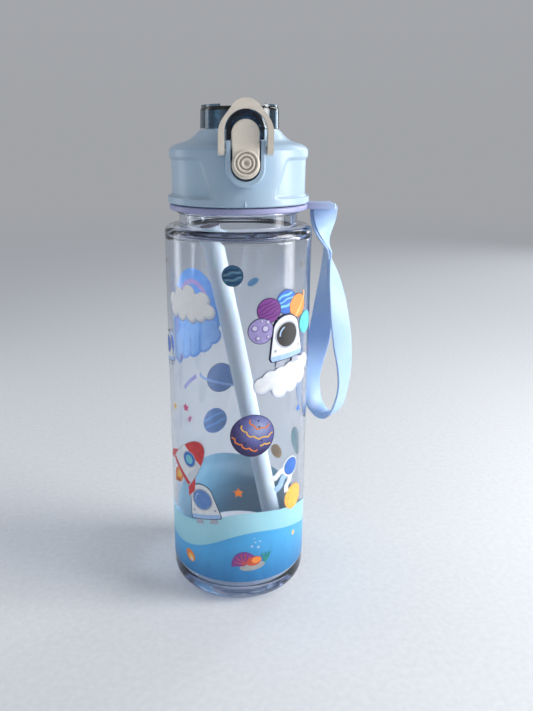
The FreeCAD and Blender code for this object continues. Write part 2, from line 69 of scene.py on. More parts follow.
# ---- strap, in metres except where mm is said ----
BAND_WIDTH = 11.8 * MM
BAND_THICKNESS = 1.2 * MM
BAND_ROUNDING = 0.42
CORNER_STEPS = 4
PATH_STEPS = 10
STEM_GAP_MM = 0.1
OUTER_SHIFT_MM = 0.5
INNER_SHIFT_MM = -0.6

# ---- print ----
INK_LIFT = 0.06 * MM
INK_STEP = 0.014 * MM
WRAP_STEP_MM = 1.6
UV_PER_MM = 0.1
SCREEN_DOTS = 34.0
DOT_DEPTH = 0.01 * MM
DOT_STRENGTH = 0.4
RIM_MM = 0.3
STAR_TURN = 7
WAVE_FOOT = 13.6 * MM
WAVE_CRESTS = 2
WAVE_RIPPLE = 0.1
WAVE_COLUMNS = 240
WAVE_ROWS = 12
WAVE_UV_WIDTH = 22.0  # about the body's girth in cm, as print UVs are

# ---- camera and light ----
CAMERA_DISTANCE = 0.3197
CAMERA_HEIGHT = 0.2255
CAMERA_TURN = math.radians(-5.0)
CAMERA_PITCH = math.radians(17.8)
CAMERA_LENS = 33.58
CAMERA_SHIFT = 0.0395
HORIZON = (0.36, 0.37, 0.39, 1)
OVERHEAD = (0.40, 0.415, 0.44, 1)
FLOOR_RADIUS = 12.0
FLOOR_DROP = 0.05 * MM
FADE_START = 0.35
FADE_END = 2.2


def srgb(red, green, blue):
    """A screen colour from 0 to 255 as the linear colour that shaders take."""
    def linear(value):
        value = value / 255
        return value / 12.92 if value <= 0.04045 else ((value + 0.055) / 1.055) ** 2.4
    return (linear(red), linear(green), linear(blue), 1.0)


# ------------------------------------------------------------- shader helper

class Shader:
    """A Principled material, with short calls for the procedural nodes that feed it."""

    def __init__(self, name, colour, roughness, **sockets):
        self.material = bpy.data.materials.new(name)
        self.material.use_nodes = True
        self.nodes = self.material.node_tree.nodes
        self.links = self.material.node_tree.links
        self.surface = self.nodes["Principled BSDF"]
        self.output = self.nodes["Material Output"]
        self.set("Base Color", colour)
        self.set("Roughness", roughness)
        for socket, value in sockets.items():
            self.set(socket.replace("_", " "), value)

    def set(self, socket, value):
        self.surface.inputs[socket].default_value = value

    def feed(self, socket, output):
        self.links.new(output, self.surface.inputs[socket])

    def place(self, kind="Object"):
        return self.nodes.new("ShaderNodeTexCoord").outputs[kind]

    def axis(self, name, kind="Object"):
        """One coordinate of the place."""
        node = self.nodes.new("ShaderNodeSeparateXYZ")
        self.links.new(self.place(kind), node.inputs[0])
        return node.outputs[name]

    def stretched(self, scale):
        """The place with each coordinate multiplied by its scale."""
        mapping = self.nodes.new("ShaderNodeMapping")
        mapping.inputs["Scale"].default_value = scale
        self.links.new(self.place(), mapping.inputs["Vector"])
        return mapping.outputs["Vector"]

    def distance(self, where, centre=(0, 0, 0)):
        """How far the place is from the centre."""
        node = self.nodes.new("ShaderNodeVectorMath")
        node.operation = "DISTANCE"
        node.inputs[1].default_value = centre
        self.links.new(where, node.inputs[0])
        return node.outputs["Value"]

    def noise(self, scale, detail=3.0, distortion=0.0, where=None):
        node = self.nodes.new("ShaderNodeTexNoise")
        node.inputs["Scale"].default_value = scale
        node.inputs["Detail"].default_value = detail
        node.inputs["Distortion"].default_value = distortion
        self.links.new(where or self.place(), node.inputs["Vector"])
        return node.outputs["Fac"]

    def cells(self, scale):
        """Distance from the nearest of many random points on a print."""
        node = self.nodes.new("ShaderNodeTexVoronoi")
        node.inputs["Scale"].default_value = scale
        self.links.new(self.place("UV"), node.inputs["Vector"])
        return node.outputs["Distance"]

    def ramp(self, fac, *stops):
        """Stops are (place from 0 to 1, colour)."""
        node = self.nodes.new("ShaderNodeValToRGB")
        elements = node.color_ramp.elements
        while len(elements) < len(stops):
            elements.new(0.5)
        for element, (place, colour) in zip(elements, stops):
            element.position = place
            element.color = colour
        self.links.new(fac, node.inputs["Fac"])
        return node.outputs["Color"]

    def remap(self, value, low, high, to_low=0.0, to_high=1.0, smooth=False):
        """The value moved from the range low to high into another, and held inside it."""
        node = self.nodes.new("ShaderNodeMapRange")
        node.interpolation_type = "SMOOTHSTEP" if smooth else "LINEAR"
        ends = {"From Min": low, "From Max": high, "To Min": to_low, "To Max": to_high}
        for socket, end in ends.items():
            node.inputs[socket].default_value = end
        self.links.new(value, node.inputs["Value"])
        return node.outputs["Result"]

    def levels(self, fac, low, high):
        """The 0 to 1 value moved to run from low to high."""
        return self.remap(fac, 0.0, 1.0, low, high)

    def mix(self, fac, first, second):
        node = self.nodes.new("ShaderNodeMix")
        node.data_type = "RGBA"
        for socket, value in (("Factor", fac), ("A", first), ("B", second)):
            target = next(i for i in node.inputs if i.name == socket and i.enabled)
            if isinstance(value, (tuple, float)):
                target.default_value = value
            else:
                self.links.new(value, target)
        return next(o for o in node.outputs if o.enabled)

    def maths(self, operation, *values):
        """One maths node; each value is a number or another node's output."""
        node = self.nodes.new("ShaderNodeMath")
        node.operation = operation
        for socket, value in zip(node.inputs, values):
            if isinstance(value, (int, float)):
                socket.default_value = value
            else:
                self.links.new(value, socket)
        return node.outputs[0]

    def add(self, first, second, share):
        """The first value plus that share of the second."""
        return self.maths("MULTIPLY_ADD", second, share, first)

    def bump(self, height, distance, strength=1.0):
        node = self.nodes.new("ShaderNodeBump")
        node.inputs["Strength"].default_value = strength
        node.inputs["Distance"].default_value = distance
        self.links.new(height, node.inputs["Height"])
        self.feed("Normal", node.outputs["Normal"])

    def pass_into(self, share, second):
        """Let the surface pass into a second one, by that share."""
        node = self.nodes.new("ShaderNodeMixShader")
        self.links.new(share, node.inputs["Fac"])
        self.links.new(self.surface.outputs["BSDF"], node.inputs[1])
        self.links.new(second, node.inputs[2])
        self.links.new(node.outputs["Shader"], self.output.inputs["Surface"])


# ------------------------------------------------------------- materials of the CAD pieces

def moulded(name, light, dark, roughness, grain=900.0, depth=0.02 * MM, **sockets):
    """Moulded plastic or rubber: soft colour drift, fine spark-eroded grain, handled patches."""
    shader = Shader(name, light, roughness, **sockets)
    drift = shader.noise(28.0, 4.0, 0.4)
    speck = shader.noise(grain * 2.0, 2.0)
    tone = shader.add(drift, speck, 0.25)
    shader.feed("Base Color", shader.ramp(tone, (0.35, dark), (0.75, light)))
    handled = shader.noise(60.0, 5.0, 1.0)
    shader.feed("Roughness", shader.levels(handled, roughness - 0.07, roughness + 0.09))
    shader.bump(shader.add(shader.noise(grain), drift, 0.6), depth)
    return shader.material


def clear_plastic(name, tint, roughness, index, haze, waviness, depth_tint, density):
    """Clear plastic that really refracts: faint flow lines, fine scuffs, a few smudges, and a
    tint that deepens where light runs along the wall. Lamps shine through it."""
    shader = Shader(name, tint, roughness, IOR=index, Transmission_Weight=1.0)
    scuffs = shader.noise(900.0, 6.0, 2.0, shader.stretched((1.0, 1.0, 0.12)))
    smudges = shader.noise(34.0, 3.0, 0.8)
    worn = shader.add(shader.levels(smudges, 0.0, haze), scuffs, haze * 0.35)
    shader.feed("Roughness", shader.levels(worn, roughness * 0.4, roughness + 0.5))
    flow = shader.noise(22.0, 1.0, 0.6, shader.stretched((1.0, 1.0, 0.35)))
    shader.bump(flow, 0.22 * MM, waviness)
    cast = shader.noise(9.0, 1.0)
    pale = tuple(min(1.0, part * 1.05) for part in tint[:3]) + (1.0,)
    shader.feed("Base Color", shader.ramp(cast, (0.3, tint), (0.8, pale)))

    absorption = shader.nodes.new("ShaderNodeVolumeAbsorption")
    absorption.inputs["Color"].default_value = depth_tint
    absorption.inputs["Density"].default_value = density
    shader.links.new(absorption.outputs["Volume"], shader.output.inputs["Volume"])
    see_through = shader.nodes.new("ShaderNodeBsdfTransparent")
    see_through.inputs["Color"].default_value = tint
    path = shader.nodes.new("ShaderNodeLightPath")
    shader.pass_into(path.outputs["Is Shadow Ray"], see_through.outputs["BSDF"])
    return shader.material


def steel_material():
    """Drawn stainless wire, streaked along its length."""
    shader = Shader("stainless_wire", srgb(176, 178, 182), 0.28, Metallic=1.0)
    drawn = shader.noise(1600.0, 4.0, 0.0, shader.stretched((0.05, 1.0, 1.0)))
    dull, bright = srgb(150, 152, 158), srgb(196, 198, 202)
    shader.feed("Base Color", shader.ramp(drawn, (0.3, dull), (0.7, bright)))
    shader.feed("Roughness", shader.levels(drawn, 0.2, 0.42))
    shader.bump(drawn, 0.01 * MM)
    return shader.material


def ring_material():
    """Painted reflection: lavender on the ring, standing for the pinkish surroundings it reflects, passing
    into the strap's own blue along the tab.
    """
    shader = Shader("ring_soft", srgb(182, 184, 228), 0.38, Subsurface_Weight=0.2,
                    Subsurface_Scale=0.002, Coat_Weight=0.2, Coat_Roughness=0.3)
    along = shader.remap(shader.axis("X"), TAB_END - TAB_FADE, TAB_END)
    drift = shader.noise(40.0)
    # The ring's lavender shades are a painted reflection of pinkish surroundings.
    ring = shader.ramp(drift, (0.3, srgb(148, 150, 190)), (0.7, srgb(166, 169, 208)))
    shader.feed("Base Color", shader.mix(along, ring, srgb(188, 214, 252)))
    shader.feed("Roughness", shader.levels(drift, 0.3, 0.46))
    shader.bump(shader.noise(1500.0), 0.03 * MM)
    return shader.material


def button_material():
    """Cream, with painted shade darkening the grooves between the thumb pad's ripples."""
    # The second colour is painted shade for the grooves between the ripples.
    clean, groove_shade = srgb(226, 219, 207), srgb(150, 140, 126)
    shader = Shader("button_cream", clean, 0.34, Coat_Weight=0.12, Coat_Roughness=0.25)
    from_middle = shader.distance(shader.stretched((1, 0, 1)), (0, 0, RIPPLE_HEIGHT))
    # Rings of painted shade in the grooves between the ripples, cream on the ripples.
    rings = shader.ramp(shader.remap(from_middle, 0.0, RIPPLE_REACH),
                        (0.07, groove_shade), (0.20, clean), (0.34, clean), (0.42, groove_shade),
                        (0.49, clean), (0.61, clean), (0.69, groove_shade), (0.75, clean))
    drift = shader.noise(60.0, 4.0, 0.6)
    shader.feed("Base Color", shader.mix(shader.levels(drift, 0.0, 0.22), rings, srgb(206, 195, 178)))
    shader.feed("Roughness", shader.levels(drift, 0.27, 0.44))
    shader.bump(shader.noise(1300.0), 0.02 * MM)
    return shader.material


def lid_material():
    """Satin blue, with the grip panels' edges rolled over. A panel's outline is a slanted line
    and two level ones; the smallest distance inside them is how far a point is into the panel."""
    light, dark = srgb(170, 195, 216), srgb(153, 180, 205)
    shader = Shader("lid_blue", light, 0.34, Coat_Weight=0.15, Coat_Roughness=0.3)
    height = shader.axis("Z")
    above_bottom = shader.maths("SUBTRACT", height, PANEL_BOTTOM)
    below_top = shader.maths("SUBTRACT", PANEL_TOP, height)
    past_edge = shader.maths("SUBTRACT", shader.maths("ABSOLUTE", shader.axis("X")), PANEL_SIDE)
    lean = math.atan2(PANEL_LEAN, PANEL_TOP - PANEL_BOTTOM)
    slanted = shader.maths("SUBTRACT", shader.maths("MULTIPLY", past_edge, math.cos(lean)),
                           shader.maths("MULTIPLY", above_bottom, math.sin(lean)))
    level = shader.maths("MINIMUM", above_bottom, below_top)
    into = shader.maths("SMOOTH_MIN", slanted, level, PANEL_CORNER)
    edge = shader.remap(into, -PANEL_EDGE, PANEL_EDGE * 0.5, 1.0, 0.0, smooth=True)

    drift = shader.noise(28.0, 4.0, 0.4)
    tone = shader.add(drift, shader.noise(2200.0, 2.0), 0.25)
    shader.feed("Base Color", shader.ramp(tone, (0.35, dark), (0.75, light)))
    shader.feed("Roughness", shader.levels(shader.noise(60.0, 5.0, 1.0), 0.27, 0.43))
    grain = shader.add(shader.noise(1100.0), drift, 0.6)
    shader.bump(shader.add(edge, grain, 0.03), PANEL_DEPTH)
    return shader.material


BODY_CLEAR = clear_plastic("clear_body", tint=srgb(246, 249, 252), roughness=0.02, index=1.47, haze=0.08,
                           waviness=0.35, depth_tint=srgb(80, 128, 200), density=34.0)
COVER_TINT = clear_plastic("tinted_cover", tint=srgb(138, 170, 190), roughness=0.03, index=1.5, haze=0.08,
                           waviness=1.0, depth_tint=srgb(24, 74, 112), density=230.0)
LID_BLUE = lid_material()
LINER_WHITE = moulded("liner_white", srgb(226, 232, 238), srgb(206, 214, 224), 0.45)
CREAM = moulded("bail_cream", srgb(226, 218, 206), srgb(206, 196, 182), 0.34, 1300.0,
                Coat_Weight=0.12, Coat_Roughness=0.25)
BUTTON_CREAM = button_material()
RING_SOFT = ring_material()
STRAP_SOFT = moulded("strap_soft", srgb(176, 208, 249), srgb(158, 194, 244), 0.38, 1500.0, 0.03 * MM,
                     Subsurface_Weight=0.2, Subsurface_Scale=0.002, Coat_Weight=0.2, Coat_Roughness=0.3)
SILICONE = moulded("silicone_white", srgb(228, 234, 242), srgb(208, 218, 230), 0.48, 1200.0,
                   Subsurface_Weight=0.4, Subsurface_Scale=0.003)
STRAW_FROST = moulded("straw_frost", srgb(238, 244, 252), srgb(222, 233, 248), 0.32, 700.0, 0.03 * MM,
                      Subsurface_Weight=0.3, Subsurface_Scale=0.003, Transmission_Weight=0.12)
STEEL = steel_material()

NODE_MATERIALS = {
    "bottle_body": BODY_CLEAR,
    "straw": STRAW_FROST,
    "strap_ring": RING_SOFT,
    "neck_gasket": SILICONE,
    "cap_liner": LINER_WHITE,
    "cap_shell": LID_BLUE,
    "tower_seal": SILICONE,
    "spout_nozzle": SILICONE,
    "straw_connector": SILICONE,
    "vent_valve": SILICONE,
    "flip_cover": COVER_TINT,
    "cover_seal": SILICONE,
    "cover_hinge_pin": STEEL,
    "cover_spring": STEEL,
    "release_button": BUTTON_CREAM,
    "button_pivot_pin": STEEL,
    "button_spring": STEEL,
    "lock_bail": CREAM,
    "bail_pins": STEEL,
}


def dress_nodes():
    """Give each CAD node that stays its material."""
    for name, material in NODE_MATERIALS.items():
        NODES[name].data.materials.clear()
        NODES[name].data.materials.append(material)


def finish_mesh(name, mesh, materials, smooth=True):
    """Turn a bmesh into a linked object with outward normals."""
    bmesh.ops.recalc_face_normals(mesh, faces=mesh.faces)
    data = bpy.data.meshes.new(name)
    mesh.to_mesh(data)
    mesh.free()
    for material in materials:
        data.materials.append(material)
    if smooth:
        data.polygons.foreach_set("use_smooth", [True] * len(data.polygons))
    piece = bpy.data.objects.new(name, data)
    bpy.context.scene.collection.objects.link(piece)
    return piece


# ------------------------------------------------------------- strap

# The band's centre line: point in mm, and the compass angle of the band's width there. The stem
# is two layers side by side, and the loop goes down the outer strand and up the inner one.
STEM_PAIR = [
    (41.0, 0.0, 196.4, 0),
    (41.0, 0.0, 192.6, 8),
    (41.6, 1.0, 187.6, 30),
    (42.9, 2.2, 181.4, 62),
    (44.4, 3.2, 175.4, 86),
]
OUTER_STRAND = [
    (46.4, 3.0, 168.0, 70),
    (48.1, 2.5, 160.5, 52),
    (50.1, 1.8, 150.0, 36),
    (51.9, 1.2, 138.5, 26),
    (53.5, 0.8, 127.5, 26),
    (55.1, 1.0, 115.5, 40),
    (55.4, 2.4, 103.5, 50),
    (53.8, 4.8, 92.2, 48),
    (51.4, 7.4, 86.4, 48),
    (48.6, 9.8, 84.6, 46),
]
INNER_STRAND = [
    (45.4, 12.4, 86.4, 41),
    (42.2, 15.2, 92.4, 32),
    (40.9, 17.4, 103.0, 20),
    (42.2, 18.2, 113.5, 4),
    (44.4, 17.4, 124.5, -15),
    (45.2, 15.0, 135.5, -38),
    (45.0, 11.6, 147.5, -62),
    (44.6, 8.2, 159.0, -80),
    (44.0, 5.0, 168.5, -90),
]


def smooth_path(stations, steps):
    """Catmull-Rom curve through (x, y, z, angle) stations in mm, as (point in m, angle)."""
    path = []
    last = len(stations) - 1
    for i in range(last):
        before = stations[max(i - 1, 0)]
        start, end = stations[i], stations[i + 1]
        after = stations[min(i + 2, last)]
        for step in range(steps):
            t = step / steps
            value = [
                0.5 * (2 * b + (c - a) * t + (2 * a - 5 * b + 4 * c - d) * t * t
                       + (3 * b - a - 3 * c + d) * t ** 3)
                for a, b, c, d in zip(before, start, end, after)
            ]
            path.append((Vector(value[:3]) * MM, value[3]))
    path.append((Vector(stations[last][:3]) * MM, stations[last][3]))
    return path


def stem_layer(offset, sideways, half_turn):
    """One of the stem's two layers: its stations moved off the band's face and a little sideways."""
    layer = []
    for x, y, z, angle in STEM_PAIR:
        turn = math.radians(angle)
        layer_x = x + offset * math.sin(turn) + sideways * math.cos(turn)
        layer_y = y - offset * math.cos(turn) + sideways * math.sin(turn)
        layer.append((layer_x, layer_y, z, angle + half_turn))
    return layer


def band_section():
    """Rounded flat section as (across, through) offsets."""
    radius = BAND_THICKNESS * BAND_ROUNDING
    section = []
    for side, face, start in ((1, 1, 0), (-1, 1, 90), (-1, -1, 180), (1, -1, 270)):
        for step in range(CORNER_STEPS + 1):
            turn = math.radians(start + 90 * step / CORNER_STEPS)
            across = side * (BAND_WIDTH / 2 - radius) + radius * math.cos(turn)
            through = face * (BAND_THICKNESS / 2 - radius) + radius * math.sin(turn)
            section.append((across, through))
    return section


def build_band(name, stations, material):
    """Skin the band's section along a smooth path whose width turns as it goes."""
    path = smooth_path(stations, PATH_STEPS)
    section = band_section()
    mesh = bmesh.new()
    rings = []
    last = len(path) - 1
    for i, (centre, angle) in enumerate(path):
        along = (path[min(i + 1, last)][0] - path[max(i - 1, 0)][0]).normalized()
        across = Vector((math.cos(math.radians(angle)), math.sin(math.radians(angle)), 0))
        across = (across - along * across.dot(along)).normalized()
        through = along.cross(across)
        rings.append([mesh.verts.new(centre + across * a + through * t) for a, t in section])
    count = len(section)
    for first, second in zip(rings, rings[1:]):
        for i in range(count):
            mesh.faces.new((first[i], first[(i + 1) % count], second[(i + 1) % count], second[i]))
    mesh.faces.new(reversed(rings[0]))
    mesh.faces.new(rings[-1])
    return finish_mesh(name, mesh, [material])


def make_strap():
    """The soft band: down one stem layer, round the loop, and up the other layer to the tab."""
    gap = BAND_THICKNESS / MM / 2 + STEM_GAP_MM
    outer_stem = stem_layer(gap, OUTER_SHIFT_MM, 0)
    inner_stem = stem_layer(-gap, INNER_SHIFT_MM, -180)
    stations = outer_stem + OUTER_STRAND + INNER_STRAND + inner_stem[::-1]
    strap = build_band("strap_band", stations, STRAP_SOFT)
    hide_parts("strap_loop")
    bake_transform(strap)


# ------------------------------------------------------------- outlines of printed pictures, in mm

def moved(points, x=0.0, y=0.0, tilt=0.0, size=1.0):
    """The points made bigger, turned and then moved."""
    turn = math.radians(tilt)
    c, s = math.cos(turn) * size, math.sin(turn) * size
    return [(x + px * c - py * s, y + px * s + py * c) for px, py in points]


def mirrored(points):
    """The points on the other side of the middle line, in reverse order."""
    return [(-x, y) for x, y in points[::-1]]


def block(left, right, low, high):
    """Outline of an upright rectangle."""
    return [(left, low), (right, low), (right, high), (left, high)]


def arc(x, y, reach, rise, start, end, steps):
    """Points along an ellipse round (x, y), between two angles in degrees."""
    points = []
    for i in range(steps + 1):
        a = math.radians(start + (end - start) * i / steps)
        points.append((x + reach * math.cos(a), y + rise * math.sin(a)))
    return points


def disc(x, y, radius, squash=1.0, tilt=0.0, count=56):
    """Outline of a circle or tilted ellipse."""
    return moved(arc(0, 0, radius, radius * squash, 0, 360, count)[:-1], x, y, tilt)


def puffs(circles, grow=0.0):
    """Outline of overlapping circles (x, y, radius). A walk starts at the rightmost point, goes
    round on the circle it is on, changes to any circle it runs into, and ends where it began."""
    step, touch, fewest_points, most_points = 0.35, 0.01, 20, 2000
    rings = [(x, y, radius + grow) for x, y, radius in circles]
    current = max(rings, key=lambda ring: ring[0] + ring[2])
    angle = 0.0
    points = []
    for _ in range(most_points):
        x, y, radius = current
        here = (x + radius * math.cos(angle), y + radius * math.sin(angle))
        over = [ring for ring in rings if ring != current and math.dist(here, ring[:2]) < ring[2] - touch]
        if over:
            current = over[0]
            angle = math.atan2(here[1] - current[1], here[0] - current[0]) + step / current[2]
            continue
        if len(points) > fewest_points and math.dist(here, points[0]) < step * 0.9:
            break
        points.append(here)
        angle += step / radius
    return points


def star(radius, tilt):
    """Five-pointed star, half as wide at its notches."""
    points = []
    for i in range(10):
        a = math.radians(90 + tilt + 36 * i)
        reach = radius if i % 2 == 0 else radius / 2
        points.append((reach * math.cos(a), reach * math.sin(a)))
    return points


def strip(points, width):
    """Outline of a line of that width through the points."""
    left, right = [], []
    last = len(points) - 1
    for i, (x, y) in enumerate(points):
        ax, ay = points[max(i - 1, 0)]
        bx, by = points[min(i + 1, last)]
        length = math.hypot(bx - ax, by - ay)
        nx, ny = -(by - ay) / length * width / 2, (bx - ax) / length * width / 2
        left.append((x + nx, y + ny))
        right.append((x - nx, y - ny))
    return left + right[::-1]


def zigzag_arc(centre, radius, start, end, swing):
    """Line that zigzags along an arc, between two angles in degrees."""
    spacing, teeth, tremble, tremble_rate = 0.45, 1.35, 0.3, 2.9
    points = []
    count = round(radius * math.radians(end - start) / spacing)
    for i in range(count + 1):
        a = math.radians(start + (end - start) * i / count)
        tooth = math.asin(math.sin(a * radius * teeth)) / (math.pi / 2)
        tooth += tremble * math.sin(a * radius * tremble_rate)
        reach = radius + swing * tooth
        points.append((centre[0] + reach * math.cos(a), centre[1] + reach * math.sin(a)))
    return points


# ------------------------------------------------------------- ink

def print_shader(name, colour, roughness=0.42, **sockets):
    """A printed film's soft sheen and fine raised screen dots."""
    shader = Shader(name, colour, roughness, Coat_Weight=0.2, Coat_Roughness=0.15, **sockets)
    shader.bump(shader.cells(SCREEN_DOTS), DOT_DEPTH, DOT_STRENGTH)
    return shader


def ink(name, light, dark=None, roughness=0.42):
    """Printed ink: screen dots of a darker shade and a slight drift in density."""
    dark = dark or tuple(part * 0.82 for part in light[:3]) + (1.0,)
    shader = print_shader(name, light, roughness)
    drift = shader.noise(3.0, 4.0, 0.5, shader.place("UV"))
    tone = shader.add(drift, shader.cells(SCREEN_DOTS), 0.3)
    shader.feed("Base Color", shader.ramp(tone, (0.42, light), (0.95, dark)))
    return shader.material


def mottled_ink(name, light, dark, scale):
    """Planet ink: soft dark patches and fine freckles on a lighter ground."""
    shader = print_shader(name, light)
    ground = shader.noise(5.0, 4.0, 0.5, shader.place("UV"))
    spots = shader.ramp(shader.cells(scale), (0.16, dark), (0.24, light))
    shader.feed("Base Color", shader.mix(shader.levels(ground, 0.0, 0.5), spots, dark))
    return shader.material


def shaded_ink(name, centre, reach, *stops):
    """Planet ink that passes through colours with the distance in mm from a bright point."""
    shader = print_shader(name, stops[0][1])
    bright_point = (centre[0] * UV_PER_MM, centre[1] * UV_PER_MM, 0)
    away = shader.distance(shader.place("UV"), bright_point)
    mottle = shader.noise(7.0, 4.0, 0.8, shader.place("UV"))
    blend = shader.add(shader.remap(away, 0.0, reach * UV_PER_MM), shader.levels(mottle, -0.5, 0.5), 0.35)
    shader.feed("Base Color", shader.ramp(blend, *stops))
    return shader.material


WHITE = ink("ink_white", srgb(238, 241, 244), srgb(220, 226, 236))
# A brighter copy of the white ink: painted light for the front cloud, which stands on the dim side.
LIT_CLOUD_WHITE = ink("ink_cloud_white_painted_light", srgb(250, 250, 249), srgb(240, 242, 246))
LILAC_LINE = ink("ink_lilac", srgb(178, 184, 214))
CLOUD_SHADE = ink("ink_cloud_shade", srgb(222, 228, 236), srgb(204, 214, 228))
SOFT_BLUE = ink("ink_soft_blue", srgb(176, 206, 244), srgb(150, 188, 236))
NAVY = ink("ink_navy", srgb(34, 40, 84))
BLUE = ink("ink_blue", srgb(56, 122, 214), srgb(40, 98, 190))
RED = ink("ink_red", srgb(226, 62, 66), srgb(196, 44, 54))
ORANGE = ink("ink_orange", srgb(244, 146, 70), srgb(226, 116, 50))
YELLOW = ink("ink_yellow", srgb(250, 208, 96), srgb(240, 180, 70))
PINK = ink("ink_pink", srgb(226, 92, 150), srgb(204, 70, 130))
PURPLE = ink("ink_purple", srgb(122, 84, 168), srgb(96, 64, 146))
GREY = ink("ink_grey", srgb(184, 190, 204), srgb(160, 166, 184))
VISOR = ink("ink_dark_glass", srgb(38, 30, 32), srgb(22, 18, 20), 0.25)
GLASS_BLUE = ink("ink_glass_blue", srgb(104, 150, 214), srgb(78, 122, 190), 0.3)
CYAN = ink("ink_cyan", srgb(128, 208, 222), srgb(92, 180, 206), 0.3)
RAINBOW_BLUE = ink("ink_rainbow_blue", srgb(112, 176, 236), srgb(92, 156, 224))
RAINBOW_PINK = ink("ink_rainbow_pink", srgb(206, 168, 208), srgb(186, 150, 204))
SKY_CLOUD = ink("ink_sky_cloud", srgb(150, 198, 244), srgb(120, 176, 234))
SKY_SHADE = ink("ink_sky_shade", srgb(112, 164, 226), srgb(92, 144, 214))
TEAL_DARK = ink("ink_teal_dark", srgb(24, 66, 102))
TEAL_LIGHT = ink("ink_teal_light", srgb(104, 148, 172))
TEAL = ink("ink_teal", srgb(46, 98, 138))
PLUM = ink("ink_plum", srgb(134, 62, 152))
PLUM_DARK = ink("ink_plum_dark", srgb(92, 36, 116))
OCEAN = ink("ink_ocean", srgb(44, 110, 214))
AQUA_STRIPE = ink("ink_aqua_stripe", srgb(124, 202, 244))
TANGERINE = ink("ink_tangerine", srgb(250, 156, 72), srgb(244, 138, 58))
PEACH = ink("ink_peach", srgb(252, 200, 136), srgb(244, 180, 110))
SHELL_RED = ink("ink_shell_red", srgb(222, 94, 62), srgb(200, 70, 56))
WEED = ink("ink_weed", srgb(52, 166, 148))
PEBBLE = ink("ink_pebble", srgb(176, 178, 176), srgb(150, 156, 160))
LILAC = ink("ink_lilac_moon", srgb(170, 160, 212), srgb(146, 136, 194))
CRATER = ink("ink_crater", srgb(212, 208, 232), srgb(196, 192, 224))
CRATER_RIM = ink("ink_crater_rim", srgb(118, 108, 168))
GOLD_MOON = mottled_ink("ink_gold_moon", srgb(254, 206, 92), srgb(226, 140, 48), 4.5)
AQUA_MOON = mottled_ink("ink_aqua_moon", srgb(100, 212, 214), srgb(58, 170, 184), 5.0)
STEEL_MOON = mottled_ink("ink_steel_moon", srgb(126, 160, 204), srgb(84, 116, 172), 3.5)
DUSK = shaded_ink("ink_dusk", (3.2, 3.6), 15.0, (0.10, srgb(158, 168, 210)), (0.42, srgb(104, 108, 174)),
                  (0.78, srgb(56, 46, 106)), (0.95, srgb(40, 32, 84)))


# ------------------------------------------------------------- pictures

# A picture is a list of (outline, ink) layers, the lowest first.

# Puffs of the clouds: (x, y, radius).
FRONT_CLOUD = [(0.0, -1.8, 6.4), (-10.2, -1.6, 3.6), (-9.0, -6.0, 3.2), (-5.0, 1.9, 3.3), (1.6, 3.3, 3.9),
               (6.8, -1.6, 5.2), (9.4, 1.0, 3.6), (12.2, -4.0, 3.3), (8.0, -6.2, 2.9), (3.2, -7.0, 3.0),
               (-3.2, -7.2, 2.9), (-6.0, -3.2, 4.4)]
BACK_CLOUD = [(-16.4, 0.6, 4.6), (-10.6, -2.6, 5.2), (-3.6, -3.6, 5.4), (3.6, -2.4, 5.6), (10.6, -3.2, 5.2),
              (16.4, 0.0, 4.6), (15.2, 4.6, 4.6), (8.0, 5.6, 5.8), (-1.0, 6.6, 6.4), (-9.0, 5.6, 5.6),
              (-15.2, 5.0, 4.4)]
SEAT_CLOUD = [(-11.2, -3.4, 4.0), (-7.0, -1.2, 4.6), (-1.6, -0.6, 5.2), (-2.2, -6.2, 4.2), (4.2, 0.8, 5.4),
              (4.4, -4.6, 4.2), (9.4, 2.4, 5.0), (10.6, -1.8, 4.2), (13.6, 4.0, 3.8)]


def placed(layers, x, y, tilt, size):
    """A picture made bigger, turned and then moved."""
    return [(moved(outline, x, y, tilt, size), material) for outline, material in layers]


def cloud(puff_list, x=0.0, y=0.0, rim=LILAC_LINE, shade=CLOUD_SHADE, top=WHITE):
    """Plain cloud: a rim that is a little wider and lower than the puffs, and a bright top that
    is smaller and higher, which leaves a shaded underside."""
    edge = [(px + 0.1, py - 0.25, radius) for px, py, radius in puff_list]
    crown = [(px * 0.97 - 0.2, py * 0.97 + 0.45, radius * 0.88) for px, py, radius in puff_list]
    layers = [(puffs(edge, grow=0.2), rim), (puffs(puff_list), shade), (puffs(crown), top)]
    return placed(layers, x, y, 0, 1.0)


def planet(radius, material, x=0.0, y=0.0, rim=NAVY):
    """Round planet with a thin rim."""
    return [(disc(x, y, radius), rim), (disc(x, y, radius - RIM_MM), material)]


def stripes(radius, x, y, tilt, bands):
    """Wavy stripes (height, width, material) right across a planet of that radius."""
    steps, inset, sag_share, ripple, ripple_rate = 24, 0.4, 0.25, 0.28, 5.5
    layers = []
    for height, width, material in bands:
        half = math.sqrt((radius - inset) ** 2 - height * height) - width * 0.3
        line = []
        for i in range(steps + 1):
            across = half * (2 * i / steps - 1)
            sag = sag_share * height * (across / radius) ** 2
            line.append((across, height - sag + ripple * math.sin(across * ripple_rate / radius + height)))
        layers.append((moved(strip(line, width), x, y, tilt), material))
    return layers


def cratered_moon(radius, x, y, craters):
    """Lilac moon with pale craters (x, y, radius), each in a darker ring."""
    layers = planet(radius, LILAC, x, y)
    for cx, cy, size in craters:
        layers.append((disc(x + cx, y + cy, size), CRATER_RIM))
        layers.append((disc(x + cx + 0.1, y + cy + 0.1, size * 0.72), CRATER))
    return layers


def ringed_planet(radius, material, x, y, tilt, ring_ink, ring_reach=1.6):
    """Planet with a tilted ring that passes in front of its lower half."""
    ring_rise, ring_width = 0.36, 0.16
    around = arc(0, 0, ring_reach * radius, ring_rise * radius, 172.8, 370.8, 40)
    ring = strip(around, ring_width * radius)
    return planet(radius, material, x, y) + [(moved(ring, x, y, tilt), ring_ink)]


